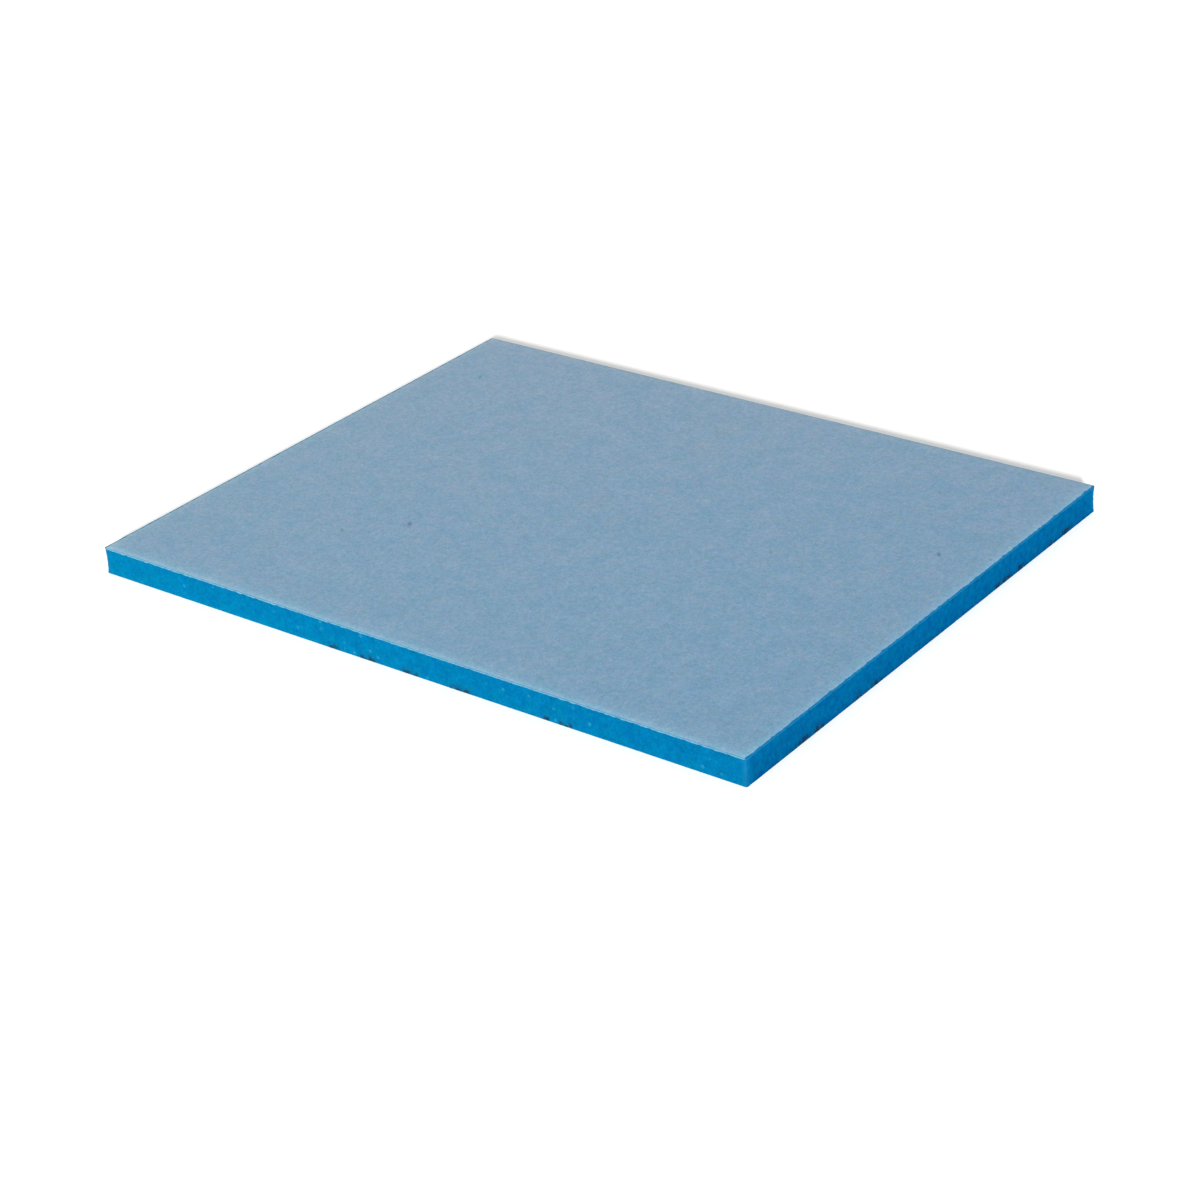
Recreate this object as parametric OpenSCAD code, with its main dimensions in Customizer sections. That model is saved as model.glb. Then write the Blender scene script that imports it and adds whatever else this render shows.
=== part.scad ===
// Thin flat sanding sponge: a die-cut sheet of soft foam with abrasive grain bonded to one face.
// It lies grain side up on its plain face. X runs along the long side and Y along the short side.
// The origin is the centre of the underside.

/* [Pad] */
// Long side of the pad, at the underside
pad_l = 140; // [60:1:300]
// Short side of the pad, at the underside
pad_w = 112; // [50:1:250]
// Thickness of the foam sheet
foam_t = 5; // [3:0.5:25]

/* [Abrasive coat] */
// Thickness of the bonded grain and resin
coat_t = 0.2; // [0.1:0.05:1]

/* [Cut edge] */
// How far a cut wall draws in halfway up, where the squeezed foam sprang back behind the die
wall_dish = 0.1; // [0.05:0.05:0.5]
// Radius of the four upright corners, halfway up
corner_r = 0.2; // [0.2:0.1:5]

/* [Rolled border] */
// Width of the border that the die pressed down
roll_w = 1.6; // [0.8:0.1:4]
// Drop of the upper face at the very edge
roll_drop = 0.12; // [0.02:0.02:0.3]

/* [Hidden] */
$fn = 128;

pad_t = foam_t + coat_t; // whole thickness, up to the grain
corner_in = corner_r + wall_dish; // from a wall to the upright axis that its corners turn about
spare = 1; // how far one cutting shape runs past another
cutter_l = 2 * (pad_l + pad_w); // longer than any side, for cutters that run the whole way along

// Radius of the arc that is level where it starts and has dropped by sag after run
function arc_r(run, sag) = (run * run + sag * sag) / (2 * sag);

// Stands a section, drawn with its own y upwards, on end and draws it out across the pad
module draw_out(length) {
    rotate([90, 0, 0])
        linear_extrude(height = length, center = true)
            children();
}

// The round that dishes a wall whose foot is at x = 0: it touches both faces and bulges inwards
module dish_round() {
    dish_r = arc_r(pad_t / 2, wall_dish);
    translate([dish_r - wall_dish, pad_t / 2])
        circle(r = dish_r);
}

// Section across the die from one dished wall to the other, with their feet wide apart by width
module die_section(width) {
    difference() {
        translate([-width / 2 - spare, 0])
            square([width + 2 * spare, pad_t + spare]);
        for (side = [0, 1])
            mirror([side, 0])
                translate([width / 2, 0])
                    dish_round();
    }
}

// One upright corner of the die, turned about its own axis so that the dish runs on round it
module die_corner() {
    rotate_extrude()
        difference() {
            square([corner_in + spare, pad_t + spare]);
            translate([corner_in, 0])
                dish_round();
        }
}

// What the die leaves of the sheet: four dished walls that run into each other round the corners
module inside_die() {
    draw_out(pad_w - 2 * corner_in) die_section(pad_l);
    rotate(90) draw_out(pad_l - 2 * corner_in) die_section(pad_w);
    for (side_x = [0, 1], side_y = [0, 1])
        mirror([side_x, 0])
            mirror([0, side_y])
                translate([pad_l / 2 - corner_in, pad_w / 2 - corner_in])
                    die_corner();
}

// Section of what lies above the rolled border of a face at height top; x = 0 is the wall
module roll_section(top) {
    roll_r = arc_r(roll_w, roll_drop);
    difference() {
        translate([-roll_w, top - 3 * roll_drop])
            square([roll_w + spare, 3 * roll_drop + spare]);
        translate([-roll_w, top - roll_r])
            circle(r = roll_r);
    }
}

// A slab wider than the pad, with its upper face at height top and the rolled border along it
module rolled_slab(top) {
    difference() {
        translate([-pad_l / 2 - spare / 2, -pad_w / 2 - spare / 2, -spare])
            cube([pad_l + spare, pad_w + spare, top + spare]);
        for (side = [0:3])
            rotate(90 * side)
                translate([(side % 2 == 0 ? pad_l : pad_w) / 2, 0])
                    draw_out(cutter_l) roll_section(top);
    }
}

// Foam sheet: flat below, rolled along the border above
module foam_pad() {
    color("dodgerblue")
        intersection() {
            inside_die();
            rolled_slab(foam_t);
        }
}

// Grain coat: lies on the foam's rolled face and ends flush with its cut walls
module abrasive_coat() {
    color("lightsteelblue")
        difference() {
            intersection() {
                inside_die();
                rolled_slab(pad_t);
            }
            rolled_slab(foam_t);
        }
}

foam_pad();
abrasive_coat();
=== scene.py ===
"""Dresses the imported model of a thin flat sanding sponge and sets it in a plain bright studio.

The pad is a die-cut sheet of soft blue foam with fine abrasive grain bonded to its upper face. The
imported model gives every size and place. A modelled foam sheet and a modelled grain coat stand in
for its two solids, each with its own finish.
"""

import logging
import math
from collections.abc import Callable, Sequence
from dataclasses import dataclass
from enum import Enum
from functools import reduce

import bmesh
import bpy
from mathutils import Matrix, Vector


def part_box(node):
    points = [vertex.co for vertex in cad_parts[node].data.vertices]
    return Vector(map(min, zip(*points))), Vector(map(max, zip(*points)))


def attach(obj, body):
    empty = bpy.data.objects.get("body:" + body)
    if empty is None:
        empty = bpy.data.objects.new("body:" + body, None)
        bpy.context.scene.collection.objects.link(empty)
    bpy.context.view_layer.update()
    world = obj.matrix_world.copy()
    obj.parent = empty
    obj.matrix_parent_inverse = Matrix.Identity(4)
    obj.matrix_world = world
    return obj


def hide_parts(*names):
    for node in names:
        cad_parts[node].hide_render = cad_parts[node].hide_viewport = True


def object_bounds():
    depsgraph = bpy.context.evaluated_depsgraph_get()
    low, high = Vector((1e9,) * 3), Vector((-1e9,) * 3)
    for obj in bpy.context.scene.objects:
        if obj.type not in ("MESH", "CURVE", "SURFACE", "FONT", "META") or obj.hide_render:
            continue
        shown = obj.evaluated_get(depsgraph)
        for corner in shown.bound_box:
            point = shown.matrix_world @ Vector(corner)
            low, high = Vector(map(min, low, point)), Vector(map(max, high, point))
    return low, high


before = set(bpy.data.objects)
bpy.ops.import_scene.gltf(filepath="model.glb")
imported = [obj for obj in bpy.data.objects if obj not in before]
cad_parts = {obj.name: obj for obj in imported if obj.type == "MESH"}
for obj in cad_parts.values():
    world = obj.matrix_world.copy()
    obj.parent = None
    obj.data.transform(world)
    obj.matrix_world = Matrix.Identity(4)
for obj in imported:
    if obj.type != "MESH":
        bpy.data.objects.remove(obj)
cad_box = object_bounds()

MM = 0.001  # metres in a millimetre
BODY = "root"  # the one body of a part without joints
EDGE_PASSES = 4  # rounds that settle where the face meets the wall, each far closer than the last

Colour = tuple[float, float, float]
WHITE: Colour = (1.0, 1.0, 1.0)

log = logging.getLogger("sanding_sponge")


class Sock:
    """An output socket of a shader node, so that a pattern is written as a Python expression."""

    def __init__(self, graph: "Graph", socket: bpy.types.NodeSocket) -> None:
        """Wraps one socket.

        Args:
            graph: The node tree that the socket belongs to.
            socket: The socket itself.
        """
        self.graph = graph
        self.socket = socket

    def __add__(self, other: "Sock | float") -> "Sock":
        """This value plus another."""
        return self.graph.math("ADD", self, other)

    def __radd__(self, other: float) -> "Sock":
        """A number plus this value."""
        return self.graph.math("ADD", other, self)

    def __sub__(self, other: "Sock | float") -> "Sock":
        """This value less another."""
        return self.graph.math("SUBTRACT", self, other)

    def __rsub__(self, other: float) -> "Sock":
        """A number less this value."""
        return self.graph.math("SUBTRACT", other, self)

    def __mul__(self, other: "Sock | float") -> "Sock":
        """This value times another."""
        return self.graph.math("MULTIPLY", self, other)

    def __rmul__(self, other: float) -> "Sock":
        """A number times this value."""
        return self.graph.math("MULTIPLY", other, self)

    def __truediv__(self, other: "Sock | float") -> "Sock":
        """This value over another."""
        return self.graph.math("DIVIDE", self, other)

    def __neg__(self) -> "Sock":
        """This value with its sign turned."""
        return self.graph.math("SUBTRACT", 0.0, self)

    def __abs__(self) -> "Sock":
        """This value without its sign."""
        return self.graph.math("ABSOLUTE", self)

    def most(self, other: "Sock | float") -> "Sock":
        """The larger of this value and another."""
        return self.graph.math("MAXIMUM", self, other)

    def power_of_e(self) -> "Sock":
        """The number e raised to this value."""
        return self.graph.math("EXPONENT", self)

    def ramp(self, low: float, high: float) -> "Sock":
        """Fades from 0 to 1 as this value goes from one level to another.

        Args:
            low: The level that gives 0.
            high: The level that gives 1. It may be below low.

        Returns:
            The faded value, held between 0 and 1.
        """
        ends = {"Value": self, "From Min": low, "From Max": high}
        return self.graph.node("ShaderNodeMapRange", {"interpolation_type": "SMOOTHSTEP"}, ends)


@dataclass(frozen=True)
class Patches:
    """A soft random pattern: the size of its patches in millimetres, its strength and its finer layers."""

    size: float
    strength: float
    layers: float = 2.0
    roughness: float = 0.5
    seed: float = 0.0


class Graph:
    """The node tree of one material, with a Principled shader at its end."""

    def __init__(self, name: str) -> None:
        """Starts a material with an empty node tree.

        Args:
            name: The material's name.
        """
        self.material = bpy.data.materials.new(name)
        self.material.use_nodes = True
        self.tree = self.material.node_tree
        self.tree.nodes.clear()

    def node(
        self,
        kind: str,
        settings: dict[str, object] | None = None,
        sockets: dict[str | int, object] | None = None,
        out: str | int = 0,
    ) -> Sock | None:
        """Adds any node.

        Args:
            kind: The node's type.
            settings: Its own options, which are set first.
            sockets: A value or a link for each input that is named or numbered.
            out: The output that is wanted, by name or number.

        Returns:
            That output, or nothing from a node that has none.
        """
        made = self.tree.nodes.new(kind)
        for option, choice in (settings or {}).items():
            setattr(made, option, choice)
        for key, value in (sockets or {}).items():
            entry = self.find(made.inputs, key)
            if isinstance(value, Sock):
                self.tree.links.new(value.socket, entry)
            else:
                entry.default_value = value
        return Sock(self, self.find(made.outputs, out)) if made.outputs else None

    @staticmethod
    def find(sockets: Sequence[bpy.types.NodeSocket], key: str | int) -> bpy.types.NodeSocket:
        """Finds a socket among a node's inputs or outputs.

        Args:
            sockets: The node's inputs or outputs.
            key: The socket's number, or its identifier.

        Returns:
            The socket.
        """
        return sockets[key] if isinstance(key, int) else next(s for s in sockets if s.identifier == key)

    def math(self, operation: str, *values: Sock | float) -> Sock:
        """Adds a Math node.

        Args:
            operation: The node's operation.
            values: Its inputs, in order.

        Returns:
            The number that it works out.
        """
        return self.node("ShaderNodeMath", {"operation": operation}, dict(enumerate(values)))

    def vector(self, operation: str, *values: object, scale: Sock | float | None = None) -> Sock:
        """Adds a Vector Math node.

        Args:
            operation: The node's operation.
            values: Its vectors or colours, in order.
            scale: The number that SCALE multiplies by.

        Returns:
            The vector or colour that it works out.
        """
        inputs = dict(enumerate(values)) | ({} if scale is None else {"Scale": scale})
        return self.node("ShaderNodeVectorMath", {"operation": operation}, inputs)

    def place(self) -> Sock:
        """The point on the piece, in millimetres in the part's own frame."""
        return self.vector("SCALE", self.node("ShaderNodeTexCoord", out="Object"), scale=1 / MM)

    def axes(self, point: Sock) -> tuple[Sock, Sock, Sock]:
        """Splits a point, or a colour, into its three numbers.

        Args:
            point: The point.

        Returns:
            The coordinates along X, Y and Z.
        """
        split = self.node("ShaderNodeSeparateXYZ", sockets={0: point})
        return tuple(Sock(self, s) for s in split.socket.node.outputs)

    def noise(self, point: Sock, patches: Patches, out: str) -> Sock:
        """Adds a noise node.

        Args:
            point: The point that the pattern is read at, in millimetres.
            patches: The pattern.
            out: Fac for one number or Color for three.

        Returns:
            The output that was asked for, from 0 to 1.
        """
        inputs = {
            "Vector": point,
            "W": patches.seed,
            "Scale": 1 / patches.size,
            "Detail": patches.layers,
            "Roughness": patches.roughness,
        }
        return self.node("ShaderNodeTexNoise", {"noise_dimensions": "4D"}, inputs, out)

    def patches(self, point: Sock, patches: Patches) -> Sock:
        """Lighter and darker patches.

        Args:
            point: The point that the pattern is read at, in millimetres.
            patches: The pattern.

        Returns:
            A value about zero that its strength limits.
        """
        return patches.strength * (2 * self.noise(point, patches, "Fac") - 1)

    def tints(self, point: Sock, patches: Patches) -> Sock:
        """Patches of slightly different hues.

        Args:
            point: The point that the pattern is read at, in millimetres.
            patches: The pattern.

        Returns:
            What each part of a colour is multiplied by, about 1.
        """
        swing, base = (2 * patches.strength,) * 3, (1 - patches.strength,) * 3
        return self.vector("MULTIPLY_ADD", self.noise(point, patches, "Color"), swing, base)

    def cells(self, point: Sock, size: float, out: str = "Distance") -> Sock:
        """A pattern of irregular round cells.

        Args:
            point: The point that the pattern is read at, in millimetres.
            size: The distance from cell to cell, in millimetres.
            out: Distance from the cell's middle, in cell sizes, or the cell's random Color.

        Returns:
            The output that was asked for.
        """
        return self.node("ShaderNodeTexVoronoi", None, {"Vector": point, "Scale": 1 / size}, out)

    def mix(self, factor: Sock | float, first: object, second: object) -> Sock:
        """Mixes two colours.

        Args:
            factor: 0 for the first colour, 1 for the second.
            first: A colour, or a socket that gives one.
            second: A colour, or a socket that gives one.

        Returns:
            The mixed colour.
        """
        given = {"Factor_Float": factor, "A_Color": self.solid(first), "B_Color": self.solid(second)}
        return self.node("ShaderNodeMix", {"data_type": "RGBA"}, given, "Result_Color")

    def tinted(self, colour: object, tint: object) -> Sock:
        """A colour with each of its parts multiplied by a tint's."""
        return self.vector("MULTIPLY", colour, tint)

    def change(self, amount: Sock, tint: Colour) -> Sock:
        """A tint that grows from nothing.

        Args:
            amount: 0 for no change and 1 for the whole of it.
            tint: How much each part of a colour grows or shrinks by.

        Returns:
            What each part of a colour is multiplied by.
        """
        return self.vector("ADD", self.vector("SCALE", tint, scale=amount), WHITE)

    @staticmethod
    def solid(colour: object) -> object:
        """A colour with its alpha, or the socket that stands for it."""
        return colour if isinstance(colour, Sock) else (*colour, 1.0)

    def bump(self, height: Sock, depth: float, strength: float) -> Sock:
        """Turns a height pattern into a normal.

        Args:
            height: The height, from 0 to 1.
            depth: How deep a change of 1 is, in metres.
            strength: How much of it shows.

        Returns:
            The bent normal.
        """
        given = {"Strength": strength, "Distance": depth, "Height": height}
        return self.node("ShaderNodeBump", None, given, "Normal")

    def matt(
        self, colour: object, roughness: float, gloss: float, normal: Sock | None = None
    ) -> bpy.types.Material:
        """Adds a matt shader and the material's output.

        Args:
            colour: The colour, or the socket that gives it.
            roughness: The shader's roughness.
            gloss: The shader's specular level.
            normal: The bent normal, if there is one.

        Returns:
            The material.
        """
        inputs = {"Base Color": self.solid(colour), "Roughness": roughness, "Specular IOR Level": gloss}
        if normal is not None:
            inputs["Normal"] = normal
        shader = self.node("ShaderNodeBsdfPrincipled", None, inputs)
        self.node("ShaderNodeOutputMaterial", None, {"Surface": shader})
        return self.material


@dataclass(frozen=True)
class Ring:
    """A level outline round the pad, which stands for one step of its section."""

    length: float
    width: float
    height: float

    def extrude_to(self, goal: "Ring") -> "Ring":
        """Extrudes the selected rim, lifts it, and draws it in or out to another ring.

        Args:
            goal: The ring to end at.

        Returns:
            That ring, where the rim is now.
        """
        stretch = (goal.length / self.length, goal.width / self.width, 1.0)
        bpy.ops.mesh.extrude_edges_indiv()
        bpy.ops.transform.translate(value=(0.0, 0.0, goal.height - self.height))
        bpy.ops.transform.resize(value=stretch, center_override=(0.0, 0.0, goal.height))
        return goal


@dataclass(frozen=True)
class DieCut:
    """The block that the die leaves of the sheet: its size comes from the frame, its section is as cut."""

    length: float
    width: float
    thickness: float
    wall_dish: float = 0.1 * MM
    corner: float = 0.3 * MM
    roll_width: float = 1.6 * MM
    roll_drop: float = 0.12 * MM

    @staticmethod
    def arc(run: float, sag: float) -> float:
        """Radius of the arc that is level where it starts and has dropped by sag after run."""
        return (run * run + sag * sag) / (2 * sag)

    def wall_inset(self, height: float) -> float:
        """How far a wall stands in from its foot.

        Args:
            height: The height above the underside.

        Returns:
            The distance in from the foot, which is the dish's depth halfway up.
        """
        half = self.thickness / 2
        radius = self.arc(half, self.wall_dish)
        return self.wall_dish - radius + math.sqrt(radius**2 - (height - half) ** 2)

    def roll_fall(self, inset: float) -> float:
        """How far a rolled face has dropped.

        Args:
            inset: The distance in from the wall's foot.

        Returns:
            The drop below the face's level middle.
        """
        radius = self.arc(self.roll_width, self.roll_drop)
        run = max(self.roll_width - inset, 0.0)
        return radius - math.sqrt(radius**2 - run**2)

    def edge_height(self, top: float) -> float:
        """Height at which a rolled face meets the dished wall.

        Args:
            top: The height of the face's level middle.

        Returns:
            The height of its edge.
        """
        height = top
        for _ in range(EDGE_PASSES):
            height = top - self.roll_fall(self.wall_inset(height))
        return height

    def ring(self, inset: float, height: float) -> Ring:
        """The outline that stands in from the foot by an inset at a height."""
        return Ring(self.length - 2 * inset, self.width - 2 * inset, height)

    def wall_rings(self, low: float, high: float, steps: int) -> list[Ring]:
        """Rings up or down the dished wall.

        Args:
            low: The height of the ring before the first.
            high: The height of the last ring.
            steps: How many rings there are.

        Returns:
            The rings in order.
        """
        heights = [low + (high - low) * (i + 1) / steps for i in range(steps)]
        return [self.ring(self.wall_inset(h), h) for h in heights]

    def roll_rings(self, top: float, steps: int) -> list[Ring]:
        """Rings across the rolled border, from its edge to where the face is level.

        Args:
            top: The height of the face's level middle.
            steps: How many steps the border is divided into.

        Returns:
            The rings, one more than the steps, from the edge inwards.
        """
        edge = self.wall_inset(self.edge_height(top))
        insets = [edge + (self.roll_width - edge) * i / steps for i in range(steps + 1)]
        return [self.ring(inset, top - self.roll_fall(inset)) for inset in insets]


class Bench:
    """Modelling steps that both pieces share, done with the operators used by hand."""

    @staticmethod
    def start_grid(name: str, ring: Ring, cell: float) -> bpy.types.Object:
        """Adds a level grid that fills a ring and stays in edit mode with its rim selected.

        Args:
            name: The new piece's name.
            ring: The outline and the height of the grid.
            cell: The size of its squares.

        Returns:
            The new piece.
        """
        bpy.ops.object.select_all(action="DESELECT")
        across = {"x_subdivisions": round(ring.length / cell), "y_subdivisions": round(ring.width / cell)}
        bpy.ops.mesh.primitive_grid_add(size=1.0, enter_editmode=True, **across)
        bpy.ops.transform.resize(value=(ring.length, ring.width, 1.0))
        bpy.ops.transform.translate(value=(0.0, 0.0, ring.height))
        bpy.ops.mesh.select_mode(type="EDGE")
        bpy.ops.mesh.select_all(action="DESELECT")
        bpy.ops.mesh.select_non_manifold(extend=False)
        bpy.context.object.name = name
        return bpy.context.object

    @staticmethod
    def select(piece: bpy.types.Object, kind: str, test: Callable[[object], bool]) -> None:
        """Selects faces or edges in edit mode by a test, and nothing else.

        Args:
            piece: The piece in edit mode.
            kind: FACE or EDGE.
            test: Says of a face or an edge whether it is wanted.
        """
        bpy.ops.mesh.select_all(action="DESELECT")
        bpy.ops.mesh.select_mode(type=kind)
        mesh = bmesh.from_edit_mesh(piece.data)
        mesh.normal_update()
        for item in mesh.faces if kind == "FACE" else mesh.edges:
            if test(item):
                item.select_set(True)
        bmesh.update_edit_mesh(piece.data)

    @staticmethod
    def round_uprights(piece: bpy.types.Object, cut: DieCut, segments: int) -> None:
        """Rounds the upright edges at the four corners.

        Args:
            piece: The piece in edit mode.
            cut: The die's block.
            segments: How many flats make up each round.
        """

        def upright(edge: bmesh.types.BMEdge) -> bool:
            """Tests an edge for a place at a corner.

            Args:
                edge: The edge.

            Returns:
                Whether it stands upright there.
            """
            first, second = (end.co for end in edge.verts)
            run, middle = second - first, (first + second) / 2
            at_end = abs(middle.x) > cut.length / 2 - cut.corner
            at_side = abs(middle.y) > cut.width / 2 - cut.corner
            return at_end and at_side and abs(run.z) > run.length / 2

        Bench.select(piece, "EDGE", upright)
        bpy.ops.mesh.bevel(offset=cut.corner, segments=segments, affect="EDGES")

    @staticmethod
    def close(piece: bpy.types.Object) -> None:
        """Points all faces outwards and leaves edit mode.

        Args:
            piece: The piece in edit mode; not used.
        """
        bpy.ops.mesh.select_all(action="SELECT")
        bpy.ops.mesh.normals_make_consistent(inside=False)
        bpy.ops.mesh.select_all(action="DESELECT")
        bpy.ops.object.mode_set(mode="OBJECT")

    @staticmethod
    def group(piece: bpy.types.Object, name: str, weight: Callable[[Vector], float]) -> str:
        """Adds a vertex group.

        Args:
            piece: The piece.
            name: The group's name.
            weight: Gives a point's weight from 0 to 1.

        Returns:
            The group's name.
        """
        made = piece.vertex_groups.new(name=name)
        for point in piece.data.vertices:
            share = weight(point.co)
            if share > 0.0:
                made.add([point.index], share, "REPLACE")
        return made.name

    @staticmethod
    def displace(piece: bpy.types.Object, texture: bpy.types.Texture, **options: object) -> None:
        """Moves a piece's points by a texture and applies that.

        Args:
            piece: The piece.
            texture: The texture, read at the points' own places.
            options: The modifier's other settings.
        """
        bpy.context.view_layer.objects.active = piece
        made = piece.modifiers.new(texture.name, "DISPLACE")
        made.texture = texture
        made.texture_coords = "LOCAL"
        for option, choice in options.items():
            setattr(made, option, choice)
        bpy.ops.object.modifier_apply(modifier=made.name)

    @staticmethod
    def texture(
        name: str, kind: str, size: float, contrast: float = 1.0, level: float = 1.0
    ) -> bpy.types.Texture:
        """Makes a texture for a displacement.

        Args:
            name: The texture's name.
            kind: CLOUDS or VORONOI.
            size: The size of its patches, in metres.
            contrast: How sharply it goes from low to high.
            level: How bright it is on the whole.

        Returns:
            The texture.
        """
        made = bpy.data.textures.new(name, kind)
        made.noise_scale = size
        made.contrast = contrast
        made.intensity = level
        return made


@dataclass(frozen=True)
class Spot:
    """A mark on the face: its middle and radius in millimetres, and what it multiplies a colour by.

    Its run is how many times longer it is than wide, along its heading. It fades from its core to its
    edge, both of which are in radii.
    """

    x: float
    y: float
    radius: float
    tint: Colour
    run: float = 1.0
    heading: float = math.radians(38.0)
    edge: float = 1.5
    core: float = 0.3

    def cover(self, graph: Graph, point: Sock, height: float) -> Sock:
        """How much of the mark there is at a point.

        Args:
            graph: The material's graph.
            point: The point, in millimetres.
            height: The height of the face, in millimetres.

        Returns:
            1 in the middle of the mark and 0 beyond it.
        """
        place = {
            "Vector": point,
            "Location": (self.x, self.y, height),
            "Rotation": (0.0, 0.0, self.heading),
            "Scale": (self.radius, self.radius * self.run, self.radius),
        }
        offset = graph.node("ShaderNodeMapping", {"vector_type": "TEXTURE"}, place)
        away = graph.node("ShaderNodeVectorMath", {"operation": "LENGTH"}, {0: offset}, "Value")
        return away.ramp(self.edge, self.core)

    def tinted(self, graph: Graph, point: Sock, height: float) -> Sock:
        """What each part of the face's colour is multiplied by at a point.

        Args:
            graph: The material's graph.
            point: The point, in millimetres.
            height: The height of the face, in millimetres.

        Returns:
            The mark's tint in its middle and 1 beyond it.
        """
        return graph.change(self.cover(graph, point, height), tuple(part - 1 for part in self.tint))


@dataclass(frozen=True)
class InkRow:
    """Plain printed bars that the die cut through: their middles and widths, in millimetres.

    Their ink soaks up the cut wall by soak, and is full over the lowest third of that.
    """

    bars: tuple[tuple[float, float], ...]
    soak: float
    full_share: float = 1 / 3
    blur: float = 0.25

    def cover(self, along: Sock) -> Sock:
        """Where the bars are.

        Args:
            along: The coordinate along the row, in millimetres.

        Returns:
            1 inside a bar and 0 between them.
        """
        inside = (
            abs(along - middle).ramp(wide / 2 + self.blur, wide / 2 - self.blur)
            for middle, wide in self.bars
        )
        return reduce(Sock.most, inside)

    def soaked(self, height: Sock) -> Sock:
        """How much ink has reached a height up the wall, in millimetres."""
        return height.ramp(self.soak, self.soak * self.full_share)


@dataclass(frozen=True)
class FoamFinish:
    """Open-cell foam dyed a saturated blue, with ink from the print that the die cut through.

    Lengths are in millimetres, but for the relief, which is in metres.
    """

    blue: Colour = (0.0003, 0.0909, 0.2240)
    pale: Colour = (0.018, 0.19, 0.33)
    ink: Colour = (0.007, 0.017, 0.035)
    # A greyer blue at the upright corners: crushed foam, and part of their painted highlight.
    crush_and_highlight: Colour = (0.03, 0.08, 0.18)
    roughness: float = 0.95
    gloss: float = 0.0
    mottle: Patches = Patches(size=1.2, strength=0.4, layers=3.0, roughness=0.65)
    mottle_tint: Colour = (1.0, 1.0, 0.6)
    hues: Patches = Patches(size=1.6, strength=0.16, layers=3.0, roughness=0.6, seed=7.0)
    # Darker along X towards the right end wall: a colour drift, and painted shade on that wall.
    drift_and_shade: Colour = (0.0, -0.066, -0.034)
    foot_tint: Colour = (0.0, 0.055, 0.0)
    foot_top: float = 2.2
    foot_full: float = 0.9
    # Painted shade: the end walls darken towards their foot.
    end_fade: float = 0.22
    fade_middle: float = 0.5
    end_contrast: float = 0.5
    foot_shade: float = 0.25
    foot_reach: float = 0.6
    # Painted highlight along the upright corners, strongest on the end walls.
    glow_front: float = 0.2
    glow_end: float = 0.8
    glow_reach: float = 0.9
    glow_start: float = 0.2
    glow_full: float = 0.7
    end_depth: float = 0.5
    cell: float = 0.42
    cell_light: float = 0.3
    cell_middle: float = 0.45
    cell_relief: float = 0.12 * MM
    cell_bump: float = 0.5
    crumb: Patches = Patches(size=0.2, strength=0.4, seed=5.0)
    fleck_gap: float = 1.8
    fleck_edge: float = 0.255
    fleck_core: float = 0.085
    fleck_share: float = 0.25
    fleck_blur: float = 0.05
    fleck_strength: float = 0.45
    crush_and_highlight_reach: float = 1.3
    crush_and_highlight_core: float = 0.1
    crush_and_highlight_strength: float = 0.1
    ink_height: float = 3.0
    ink_edge: float = 0.3
    ink_fray: Patches = Patches(size=0.8, strength=1.0, layers=3.0, seed=9.0)
    ink_gaps: Patches = Patches(size=0.8, strength=1.0, layers=2.0, seed=4.0)
    ink_gap_bare: float = -0.35
    ink_gap_full: float = 0.1
    ink_cover: float = 0.85
    ink_halo: float = 1.7
    halo_full: float = 0.45
    halo_strength: float = 0.24
    front_ink: InkRow = InkRow((
        (-15.1, 2.6), (-7.4, 3.4), (2.0, 3.4), (12.9, 4.6), (30.8, 1.4), (34.8, 2.6),
    ), soak=0.9)
    side_ink: InkRow = InkRow((
        (-40.1, 2.8), (-35.6, 2.8), (-23.8, 1.8), (-18.4, 3.2),
        (22.8, 5.4), (29.3, 2.2), (40.2, 3.0), (45.8, 3.8),
    ), soak=1.35)

    def material(self, cut: DieCut) -> bpy.types.Material:
        """Builds the foam's material.

        Args:
            cut: The die's block.

        Returns:
            The material.
        """
        graph = Graph("blue_open_cell_foam")
        point = graph.place()
        x, y, z = graph.axes(point)
        from_end, from_side = cut.length / 2 / MM - abs(x), cut.width / 2 / MM - abs(y)
        cells = graph.cells(point, self.cell)

        light = graph.patches(point, self.mottle) * (1 + self.end_contrast * self.at_end(from_end))
        light += self.cell_light * (cells - self.cell_middle)
        # Painted shade towards the foot of the end walls, and a painted highlight at the upright corners.
        light += self.painted_end_shade(from_end, z, cut.thickness / MM) + self.painted_corner_highlight(from_end, from_side)
        colour = graph.tinted(self.blue, graph.tints(point, self.hues))
        colour = graph.tinted(colour, graph.change(light, self.mottle_tint))
        # Darker towards the right end wall: a colour drift, and painted shade on that wall.
        colour = graph.tinted(colour, graph.change(x / (cut.length / 2 / MM), self.drift_and_shade))
        colour = graph.tinted(colour, graph.change(z.ramp(self.foot_top, self.foot_full), self.foot_tint))

        # Crushed foam at the upright corners, which is also part of their painted highlight.
        crushed_and_lit = self.crush_and_highlight_strength * from_end.most(from_side).ramp(self.crush_and_highlight_reach, self.crush_and_highlight_core)
        layers = (
            (self.flecks(graph, point), self.pale),
            (crushed_and_lit, self.crush_and_highlight),
            (self.inked(graph, point, cut), self.ink),
        )
        for cover, paint in layers:
            colour = graph.mix(cover, colour, paint)

        crumbs = cells + graph.patches(point, self.crumb)
        normal = graph.bump(crumbs, self.cell_relief, self.cell_bump)
        return graph.matt(colour, self.roughness, self.gloss, normal)

    def at_end(self, from_end: Sock) -> Sock:
        """1 on the two end walls and 0 a little way in from them."""
        return from_end.ramp(self.end_depth, 0.0)

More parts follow.
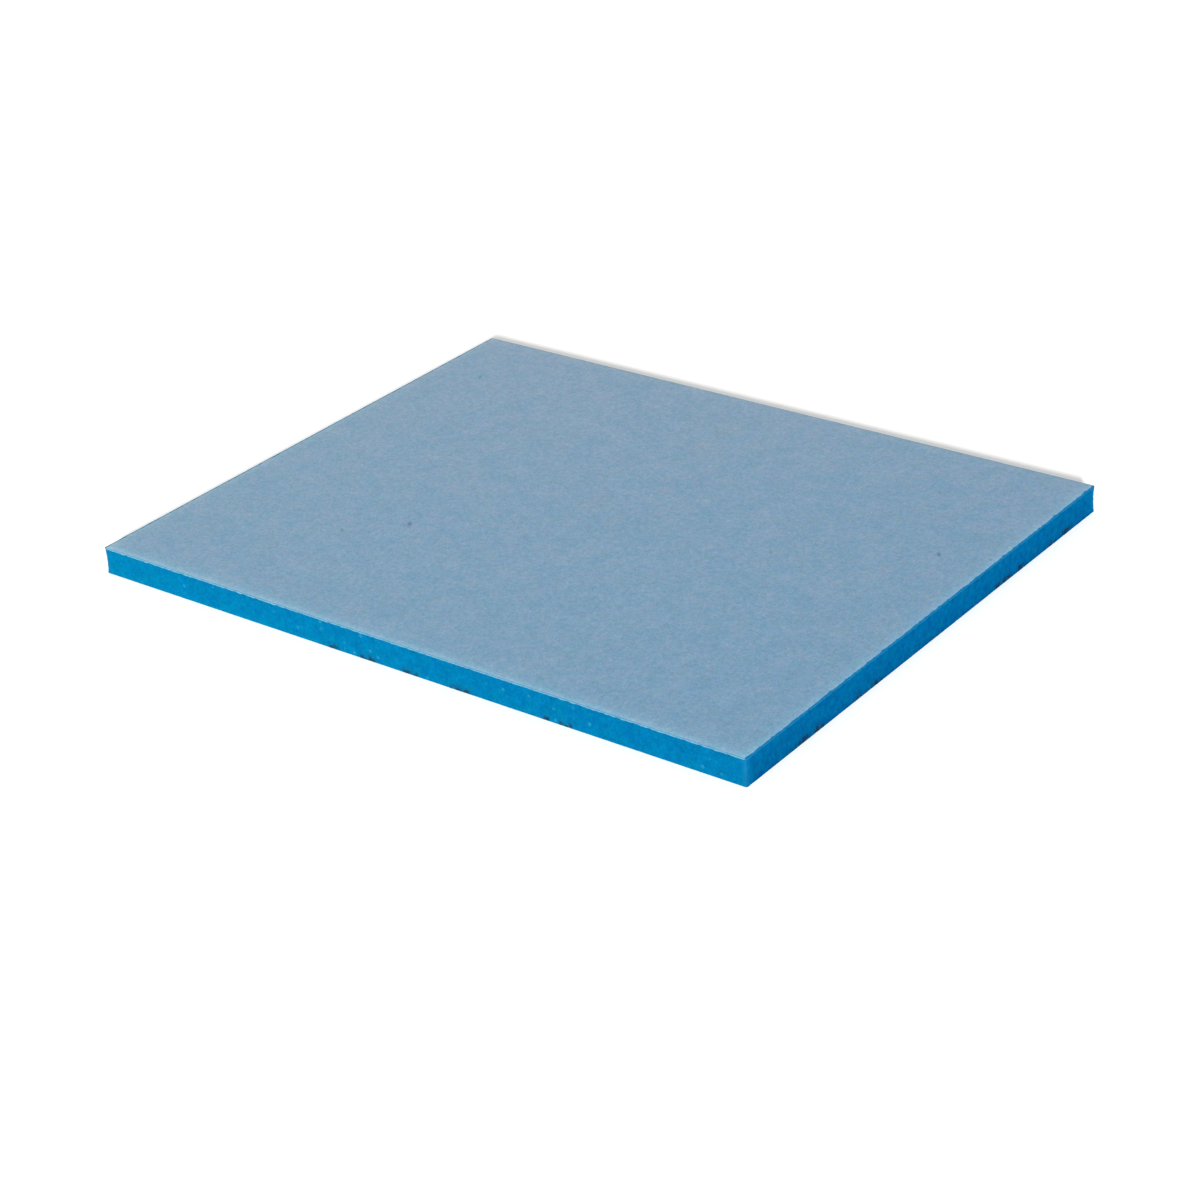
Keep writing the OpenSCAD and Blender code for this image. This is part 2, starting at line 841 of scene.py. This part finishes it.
    def painted_end_shade(self, from_end: Sock, height: Sock, thickness: float) -> Sock:
        """Painted shade: how the end walls darken towards their foot.

        Args:
            from_end: The distance in from the nearer end wall.
            height: The height above the underside.
            thickness: The pad's whole thickness.

        Returns:
            A share of the colour to add, which is nil away from the end walls.
        """
        fade = self.end_fade * (height / thickness - self.fade_middle)
        shade = self.foot_shade * (-height / self.foot_reach).power_of_e()
        return self.at_end(from_end) * (fade - shade)

    def painted_corner_highlight(self, from_end: Sock, from_side: Sock) -> Sock:
        """Painted highlight: how the upright corners catch more light, on the end walls most.

        Args:
            from_end: The distance in from the nearer end wall.
            from_side: The distance in from the nearer side wall.

        Returns:
            A share of the colour to add.
        """
        away = from_end + from_side
        more = (self.glow_end - self.glow_front) * away.ramp(self.glow_start, self.glow_full)
        return (-away / self.glow_reach).power_of_e() * (self.glow_front + self.at_end(from_end) * more)

    def flecks(self, graph: Graph, point: Sock) -> Sock:
        """Pale flecks, in some of the cells of a coarse pattern.

        Args:
            graph: The material's graph.
            point: The point, in millimetres.

        Returns:
            How much of a fleck there is.
        """
        spot = graph.cells(point, self.fleck_gap).ramp(self.fleck_edge, self.fleck_core)
        draw = graph.axes(graph.cells(point, self.fleck_gap, "Color"))[0]
        left_out = draw.ramp(self.fleck_share, self.fleck_share + self.fleck_blur)
        return self.fleck_strength * spot * (1 - left_out)

    def inked(self, graph: Graph, point: Sock, cut: DieCut) -> Sock:
        """Where ink lies: bars along two edges of the underside, soaked a little way up the cut walls.

        Args:
            graph: The material's graph.
            point: The point, in millimetres.
            cut: The die's block.

        Returns:
            How much ink there is, with its faint halo above it.
        """
        x, y, z = graph.axes(point)
        inner = self.ink_height - self.ink_edge
        row = (cut.width / 2 / MM + y).ramp(self.ink_height, inner)
        column = (cut.length / 2 / MM - x).ramp(self.ink_height, inner)
        whole = graph.patches(point, self.ink_gaps).ramp(self.ink_gap_bare, self.ink_gap_full)
        frayed = z + graph.patches(point, self.ink_fray)
        front, side = self.front_ink.cover(x) * row * whole, self.side_ink.cover(y) * column * whole
        soaked = (front * self.front_ink.soaked(frayed)).most(side * self.side_ink.soaked(frayed))
        halo = front.most(side) * z.ramp(self.ink_halo, self.halo_full)
        return (self.ink_cover * soaked).most(self.halo_strength * halo)


@dataclass(frozen=True)
class WearAndHighlight:
    """Worn band and painted highlight along an edge: how much each part of a colour grows there, and its
    reach in millimetres.
    """

    tint: Colour
    reach: float

    def cover(self, gap: Sock) -> Sock:
        """How much of the worn band and painted highlight there is at a distance in from the edge."""
        return (-gap / self.reach).power_of_e()


@dataclass(frozen=True)
class Stain:
    """Foam dust on a cut edge: its colour, where it ends and is full, in millimetres, and its strength."""

    colour: Colour
    reach: float
    core: float
    strength: float

    def cover(self, gap: Sock) -> Sock:
        """How much dust there is at a distance in from the edge."""
        return self.strength * gap.ramp(self.reach, self.core)


@dataclass(frozen=True)
class Tinge:
    """A soft random pattern, and how far each part of a colour follows it."""

    patches: Patches
    swing: Colour

    def tint(self, graph: Graph, point: Sock) -> Sock:
        """What each part of the colour is multiplied by, about 1."""
        return graph.change(graph.patches(point, self.patches), self.swing)


@dataclass(frozen=True)
class GrainFinish:
    """Fine mineral grain in resin: matt, pale grey-blue, faintly mottled, and paler along its worn edges,
    which also carry a painted highlight.

    Lengths are in millimetres, but for the relief, which is in metres.
    """

    grey: Colour = (0.1878, 0.2950, 0.3954)
    roughness: float = 0.95
    gloss: float = 0.1
    grain: Tinge = Tinge(Patches(size=0.32, strength=0.36, layers=1.0, seed=1.0), (1.0, 0.78, 0.74))
    tinges: tuple[Tinge, ...] = (
        Tinge(Patches(size=0.9, strength=0.29, layers=1.0, seed=2.0), (1.0, 0.46, 0.38)),
        Tinge(Patches(size=3.6, strength=0.19, layers=1.0, seed=8.0), (1.0, 0.26, 0.12)),
        Tinge(Patches(size=1.1, strength=0.14, layers=1.0, seed=3.0), (1.0, -0.42, -0.05)),
        Tinge(Patches(size=1.2, strength=0.11, layers=1.0, seed=6.0), (-0.2, -0.08, 1.0)),
    )
    wear_and_highlight_mottle: Patches = Patches(size=1.3, strength=0.16, layers=1.0, seed=2.0)
    drift_x: Colour = (-0.062, -0.022, -0.006)
    drift_y: Colour = (0.048, 0.004, -0.012)
    # Paler bands along the edges: worn, plus a painted highlight where the rolled border catches light,
    # strongest at the front.
    front_wear_and_highlight: WearAndHighlight = WearAndHighlight((0.06, 0.19, 0.17), 1.6)
    right_wear_and_highlight: WearAndHighlight = WearAndHighlight((0.06, 0.28, 0.24), 1.0)
    left_wear_and_highlight: WearAndHighlight = WearAndHighlight((0.46, 0.36, 0.15), 0.9)
    back_wear_and_highlight: WearAndHighlight = WearAndHighlight((0.52, 0.40, 0.22), 0.75)
    front_stain: Stain = Stain((0.003, 0.120, 0.24), 0.26, 0.10, 0.55)
    side_stain: Stain = Stain((0.001, 0.140, 0.31), 0.38, 0.20, 1.0)
    rag: Patches = Patches(size=0.9, strength=1.0, layers=2.0, seed=8.0)
    relief: float = 0.03 * MM
    relief_bump: float = 0.4
    spots: tuple[Spot, ...] = (
        Spot(-27.9, -20.2, 0.44, (0.58, 0.68, 0.72), run=2.6),
        Spot(60.0, 18.1, 0.40, (0.65, 0.66, 0.72), run=2.2),
        Spot(-37.0, -28.5, 0.36, (0.74, 0.85, 0.85), run=2.2),
        Spot(-59.1, 38.5, 0.36, (0.72, 0.80, 0.84), run=2.2),
        Spot(34.4, 4.0, 0.36, (0.78, 0.82, 0.80), run=2.2),
        Spot(-1.0, 33.5, 3.6, (1.055, 1.0, 0.955)),
        Spot(-1.6, 43.0, 3.6, (1.055, 1.0, 0.955)),
        Spot(-3.4, 4.0, 3.4, (1.06, 0.995, 0.965)),
    )

    def material(self, cut: DieCut) -> bpy.types.Material:
        """Builds the grain coat's material.

        Args:
            cut: The die's block.

        Returns:
            The material.
        """
        graph = Graph("grey_blue_grain")
        point = graph.place()
        x, y, _ = graph.axes(point)
        half_l, half_w = cut.length / 2 / MM, cut.width / 2 / MM

        grain = graph.patches(point, self.grain.patches)
        tints = [graph.change(grain, self.grain.swing)]
        tints += [tinge.tint(graph, point) for tinge in self.tinges]
        tints += [graph.change(x / half_l, self.drift_x), graph.change(y / half_w, self.drift_y)]
        tints += [spot.tinted(graph, point, cut.thickness / MM) for spot in self.spots]
        # Worn edges with a painted highlight, strongest along the front.
        edges = (
            (half_w + y, self.front_wear_and_highlight),
            (half_l - x, self.right_wear_and_highlight),
            (half_l + x, self.left_wear_and_highlight),
            (half_w - y, self.back_wear_and_highlight),
        )
        mottle = 1 + graph.patches(point, self.wear_and_highlight_mottle)
        tints += [graph.change(wear_and_highlight.cover(gap) * mottle, wear_and_highlight.tint) for gap, wear_and_highlight in edges]
        colour = reduce(graph.tinted, tints, self.grey)

        rag = 1 + graph.patches(point, self.rag)
        colour = graph.mix(self.front_stain.cover(half_w - abs(y)), colour, self.front_stain.colour)
        colour = graph.mix(self.side_stain.cover((half_l - abs(x)) * rag), colour, self.side_stain.colour)
        normal = graph.bump(grain, self.relief, self.relief_bump)
        return graph.matt(colour, self.roughness, self.gloss, normal)


@dataclass
class FoamPad:
    """The foam sheet: a level underside, four dished walls of open cells and a rolled upper face."""

    cut: DieCut
    top: float
    finish: FoamFinish
    name: str = "foam_sheet"
    node: str = "foam_pad"
    slot: str = "foam"
    cell: float = 1.0 * MM
    wall_steps: int = 5
    roll_steps: int = 4
    corner_segments: int = 4
    wall_cuts: int = 4
    wall_rise: float = 0.5
    pore: float = 0.5 * MM
    pore_depth: float = 0.09 * MM
    pore_level: float = 0.6
    sway: float = 9.0 * MM
    sway_depth: float = 0.06 * MM
    sway_level: float = 0.5
    edge_margin: float = 0.01 * MM
    underside_share: float = 0.3
    smooth_below: float = math.radians(40.0)

    def build(self) -> bpy.types.Object:
        """Models the sheet.

        Returns:
            The finished piece.
        """
        cut, edge = self.cut, self.cut.edge_height(self.top)
        rim = cut.ring(0.0, 0.0)
        piece = Bench.start_grid(self.name, rim, self.cell)
        for goal in cut.wall_rings(0.0, edge, self.wall_steps):
            rim = rim.extrude_to(goal)
        for goal in cut.roll_rings(self.top, self.roll_steps)[1:]:
            rim = rim.extrude_to(goal)
        bpy.ops.mesh.edge_face_add()
        Bench.round_uprights(piece, cut, self.corner_segments)
        Bench.select(piece, "FACE", lambda face: abs(face.normal.z) < self.wall_rise)
        bpy.ops.mesh.subdivide(number_cuts=self.wall_cuts)
        Bench.close(piece)
        self.open_cells(piece, edge)
        bpy.ops.object.shade_smooth_by_angle(angle=self.smooth_below)
        return piece

    def open_cells(self, piece: bpy.types.Object, edge: float) -> None:
        """Sinks torn cells into the walls and, more lightly, into the underside.

        Args:
            piece: The closed sheet.
            edge: The height of the walls' upper edge.
        """

        def torn(point: Vector) -> float:
            """Gives the depth of the cells at a point.

            Args:
                point: The point.

            Returns:
                1 on a wall, a share of that on the underside and 0 on the upper face.
            """
            if point.z > edge - self.edge_margin:
                return 0.0
            return 1.0 if point.z > self.edge_margin else self.underside_share

        group = Bench.group(piece, "torn", torn)
        sway = Bench.texture("uneven_cut", "CLOUDS", self.sway)
        pores = Bench.texture("torn_cells", "VORONOI", self.pore)
        Bench.displace(piece, sway, vertex_group=group, mid_level=self.sway_level, strength=self.sway_depth)
        Bench.displace(piece, pores, vertex_group=group, mid_level=self.pore_level, strength=self.pore_depth)

    def dress(self, piece: bpy.types.Object) -> None:
        """Gives the sheet its material and its place in the frame.

        Args:
            piece: The finished piece.
        """
        piece.data.materials.append(self.finish.material(self.cut))
        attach(piece, BODY)
        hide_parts(self.node)


@dataclass
class AbrasiveCoat:
    """The grain coat: a thin sheet that follows the foam's rolled border and ends in a ragged cut."""

    cut: DieCut
    low: float
    top: float
    finish: GrainFinish
    name: str = "grain_coat"
    node: str = "abrasive_coat"
    slot: str = "grain"
    cell: float = 0.7 * MM
    roll_steps: int = 4
    corner_segments: int = 4
    border_cuts: int = 2
    ripple: float = 6.0 * MM
    ripple_depth: float = 0.03 * MM
    ripple_top: float = 1.0
    burr: float = 1.0 * MM
    burr_foot: float = 0.0
    burr_drop: float = 0.13 * MM
    burr_contrast: float = 3.0
    burr_level: float = 0.62
    foot_band: float = 0.1 * MM
    edge_margin: float = 0.01 * MM
    smooth_below: float = math.radians(40.0)

    def build(self) -> bpy.types.Object:
        """Models the coat.

        Returns:
            The finished piece.
        """
        cut = self.cut
        upper = cut.roll_rings(self.top, self.roll_steps)[::-1]
        lower = cut.roll_rings(self.low, self.roll_steps)
        rim = upper[0]
        piece = Bench.start_grid(self.name, rim, self.cell)
        for goal in upper[1:] + lower:
            rim = rim.extrude_to(goal)
        bpy.ops.mesh.edge_face_add()
        Bench.round_uprights(piece, cut, self.corner_segments)
        border = cut.length / 2 - cut.roll_width, cut.width / 2 - cut.roll_width

        def in_border(face: bmesh.types.BMFace) -> bool:
            """Whether a face lies in the rolled border."""
            middle = face.calc_center_median()
            return abs(middle.x) > border[0] or abs(middle.y) > border[1]

        Bench.select(piece, "FACE", in_border)
        bpy.ops.mesh.subdivide(number_cuts=self.border_cuts)
        Bench.close(piece)
        self.roughen(piece)
        bpy.ops.object.shade_smooth_by_angle(angle=self.smooth_below)
        return piece

    def roughen(self, piece: bpy.types.Object) -> None:
        """Ripples the face and drags burrs of the cut edge down over the foam.

        Args:
            piece: The closed coat.
        """
        upper_edge, lower_edge = self.cut.edge_height(self.top), self.cut.edge_height(self.low)
        foot = self.cut.ring(self.cut.wall_inset(lower_edge), lower_edge)

        def on_foot(point: Vector) -> float:
            """1 on the lower outer edge."""
            beyond = max(abs(point.x) - foot.length / 2, abs(point.y) - foot.width / 2)
            return 1.0 if beyond > -self.foot_band and point.z < lower_edge + self.edge_margin else 0.0

        def on_face(point: Vector) -> float:
            """1 on the upper face."""
            return 1.0 if point.z > upper_edge - self.edge_margin else 0.0

        foot_group = Bench.group(piece, "foot", on_foot)
        face_group = Bench.group(piece, "face", on_face)
        burrs = Bench.texture("burrs", "CLOUDS", self.burr, self.burr_contrast, self.burr_level)
        ripples = Bench.texture("ripples", "CLOUDS", self.ripple)
        moves = (
            (burrs, foot_group, self.burr_foot, -self.burr_drop),
            (ripples, face_group, self.ripple_top, self.ripple_depth),
        )
        for texture, group, level, depth in moves:
            options = {"vertex_group": group, "direction": "Z", "mid_level": level, "strength": depth}
            Bench.displace(piece, texture, **options)

    def dress(self, piece: bpy.types.Object) -> None:
        """Gives the coat its material and its place in the frame.

        Args:
            piece: The finished piece.
        """
        piece.data.materials.append(self.finish.material(self.cut))
        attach(piece, BODY)
        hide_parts(self.node)


def toward(azimuth: float, elevation: float) -> Vector:
    """The direction that lies at an azimuth and an elevation, in degrees, as seen from the pad."""
    turn, tilt = math.radians(azimuth), math.radians(elevation)
    return Vector((math.sin(turn) * math.cos(tilt), -math.cos(turn) * math.cos(tilt), math.sin(tilt)))


@dataclass(frozen=True)
class Light:
    """One lamp: its kind, where it shines from, how wide it is, and its strength, colour and shadow.

    The azimuth and the elevation are in degrees. The width is an angle for a SUN and a side for an AREA.
    """

    kind: str
    azimuth: float
    elevation: float
    distance: float
    width: float
    strength: float
    colour: Colour
    shadow: bool

    def hang(self, name: str) -> None:
        """Hangs the lamp, aimed at the pad.

        Args:
            name: The lamp's name.
        """
        light = bpy.data.lights.new(name, self.kind)
        light.energy = self.strength
        light.color = self.colour
        light.use_shadow = self.shadow
        setattr(light, "angle" if self.kind == "SUN" else "size", self.width)
        hung = bpy.data.objects.new(name, light)
        away = toward(self.azimuth, self.elevation)
        hung.location = self.distance * away
        hung.rotation_euler = away.to_track_quat("Z", "Y").to_euler()
        bpy.context.scene.collection.objects.link(hung)


class Lamp(Enum):
    """The studio's lamps: a low one, whose shadow just shows behind the pad, and a soft warm fill."""

    LOW = Light(
        kind="SUN", azimuth=36.5, elevation=19.75, distance=2.0,
        width=math.radians(4.2), strength=4.9, colour=WHITE, shadow=True,
    )
    FILL = Light(
        kind="AREA", azimuth=-39.3, elevation=12.0, distance=1.83,
        width=1.2, strength=26.1, colour=(1.0, 1.0, 0.445), shadow=False,
    )


@dataclass
class Studio:
    """A bright floor under an even cool sky, with its lamps and the camera.

    The angles are in degrees, and the lens and the sensor are in millimetres.
    """

    azimuth: float = 38.485
    elevation: float = 27.80
    roll: float = -3.498
    shift_x: float = 0.236 * MM
    shift_y: float = 10.564 * MM
    distance: float = 510.8 * MM
    lens: float = 84.484
    sensor: float = 36.0
    sky: float = 1.006
    sky_colour: Colour = (0.495, 0.513, 0.627)
    backdrop_colour: Colour = WHITE
    floor_side: float = 6.0
    floor_cream: Colour = (0.98, 0.962, 0.915)
    floor_roughness: float = 0.9
    floor_gloss: float = 0.0
    clip_start: float = 10 * MM

    def build(self) -> None:
        """Sets up the floor, the sky, the lamps and the camera."""
        self.floor()
        self.world()
        for lamp in Lamp:
            lamp.value.hang(lamp.name.lower())
        self.camera()
        bpy.context.scene.view_settings.view_transform = "Standard"

    def floor(self) -> None:
        """Lays a plain pale floor under the pad."""
        bpy.ops.object.select_all(action="DESELECT")
        bpy.ops.mesh.primitive_plane_add(size=self.floor_side, location=(0.0, 0.0, cad_box[0].z))
        floor = bpy.context.object
        floor.name = "floor"
        finish = Graph("pale_floor").matt(self.floor_cream, self.floor_roughness, self.floor_gloss)
        floor.data.materials.append(finish)

    def world(self) -> None:
        """Lights the studio evenly from all round, with a plain white backdrop to the camera's eye."""
        world = bpy.data.worlds.new("even_sky")
        world.use_nodes = True
        nodes, links = world.node_tree.nodes, world.node_tree.links
        sky = nodes["Background"]
        sky.inputs["Color"].default_value = (*self.sky_colour, 1.0)
        sky.inputs["Strength"].default_value = self.sky
        backdrop = nodes.new("ShaderNodeBackground")
        backdrop.inputs["Color"].default_value = (*self.backdrop_colour, 1.0)
        seen = nodes.new("ShaderNodeLightPath").outputs["Is Camera Ray"]
        mixed = nodes.new("ShaderNodeMixShader")
        for source, target in ((seen, 0), (sky.outputs[0], 1), (backdrop.outputs[0], 2)):
            links.new(source, mixed.inputs[target])
        links.new(mixed.outputs[0], nodes["World Output"].inputs["Surface"])
        bpy.context.scene.world = world

    def camera(self) -> None:
        """Places the camera and makes it the scene's."""
        roll = math.radians(self.roll)
        back = toward(self.azimuth, self.elevation)
        level = Vector((0.0, 0.0, 1.0)).cross(back).normalized()
        rise = back.cross(level)
        right = math.cos(roll) * level + math.sin(roll) * rise
        up = math.cos(roll) * rise - math.sin(roll) * level
        data = bpy.data.cameras.new("camera")
        data.lens = self.lens
        data.sensor_width = self.sensor
        data.clip_start = self.clip_start
        camera = bpy.data.objects.new("camera", data)
        camera.matrix_world = Matrix((right, up, back)).transposed().to_4x4()
        camera.location = self.distance * back - self.shift_x * right - self.shift_y * up
        bpy.context.scene.collection.objects.link(camera)
        bpy.context.scene.camera = camera


def main() -> None:
    """Builds and dresses the pieces in order, and reports each one."""
    logging.basicConfig(level=logging.INFO, format="%(name)s: %(message)s")
    Studio().build()
    foam_low, foam_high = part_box("foam_pad")
    coat_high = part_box("abrasive_coat")[1]
    cut = DieCut(foam_high.x - foam_low.x, foam_high.y - foam_low.y, coat_high.z - foam_low.z)
    parts = (
        FoamPad(cut, foam_high.z, FoamFinish()),
        AbrasiveCoat(cut, foam_high.z, coat_high.z, GrainFinish()),
    )
    for part in parts:
        piece = part.build()
        part.dress(piece)
        log.info("%s: %d faces, stands for %s", piece.name, len(piece.data.polygons), part.node)


if __name__ == "__main__":
    main()
